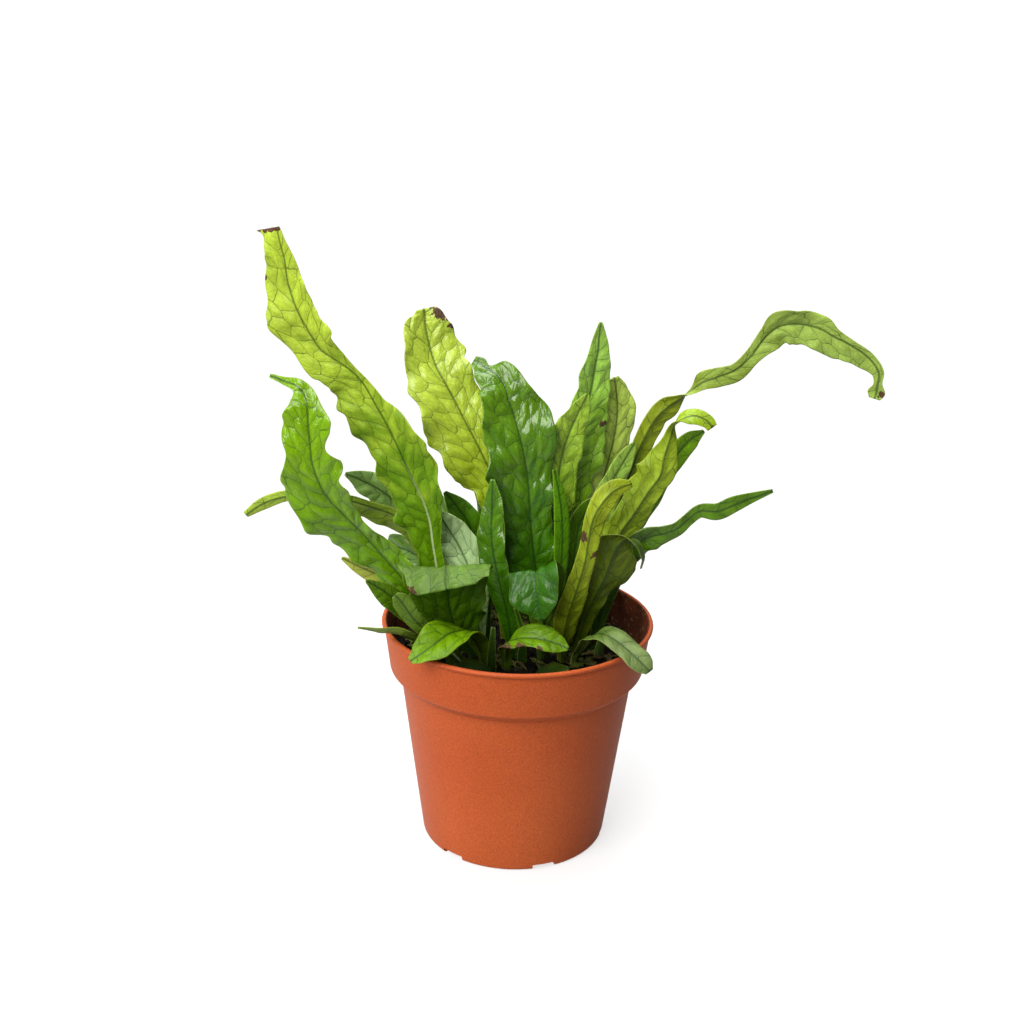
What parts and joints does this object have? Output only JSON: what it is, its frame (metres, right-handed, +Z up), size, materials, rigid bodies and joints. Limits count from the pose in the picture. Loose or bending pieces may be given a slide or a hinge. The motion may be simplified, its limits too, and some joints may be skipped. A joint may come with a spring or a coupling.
{
  "type": "potted fern",
  "caption": "Strap-leaved fern with quilted, net-veined fronds growing from soil in a plain round nursery pot with a collar.",
  "frame": {"origin": "centre of the pot's base, on the surface it stands on", "axes": "+Z up; -Y towards the front of the plant; +X to the right seen from the front, where the longest frond arches"},
  "size_m": [0.2456, 0.143, 0.2507],
  "materials": {
    "pot": "satin",
    "soil": "matte",
    "frond_fresh": "satin",
    "frond_middle": "satin",
    "frond_dark": "glossy",
    "frond_olive": "matte",
    "frond_silver": "satin",
    "frond_pale": "satin"
  },
  "bodies": {
    "root": {"pot": "pot", "soil": "soil", "tall_left": "frond_middle", "left_broad": "frond_dark", "far_left": "frond_olive", "back_left_small": "frond_fresh", "left_under": "frond_pale", "left_mid": "frond_middle", "left_stub": "frond_olive", "rim_spike_left": "frond_fresh", "sunlit_left": "frond_fresh", "dark_left": "frond_dark", "silver_left": "frond_silver", "center_strip": "frond_dark", "center_big": "frond_dark", "short_center": "frond_dark", "folded_front": "frond_middle", "right_narrow": "frond_middle", "center_right": "frond_middle", "pointed_right": "frond_fresh", "light_right": "frond_pale", "pale_edged": "frond_dark", "grey_right": "frond_silver", "long_right": "frond_fresh", "curled_right": "frond_olive", "dark_right": "frond_dark", "low_right": "frond_middle", "yellow_curl": "frond_fresh", "olive_fold": "frond_olive", "front_left_low": "frond_fresh", "front_burnt": "frond_olive", "low_shoot_left": "frond_dark", "low_shoot_right": "frond_olive", "rim_leaf_right": "frond_pale", "tiny_right": "frond_dark", "shoot_center": "frond_middle", "shoot_front": "frond_olive", "back_left": "frond_middle", "back_center": "frond_dark", "back_right": "frond_middle", "back_right_low": "frond_fresh", "back_center_low": "frond_fresh", "back_left_low": "frond_dark", "back_right_rim": "frond_pale", "back_left_rim": "frond_olive"}
  },
  "joints": []
}
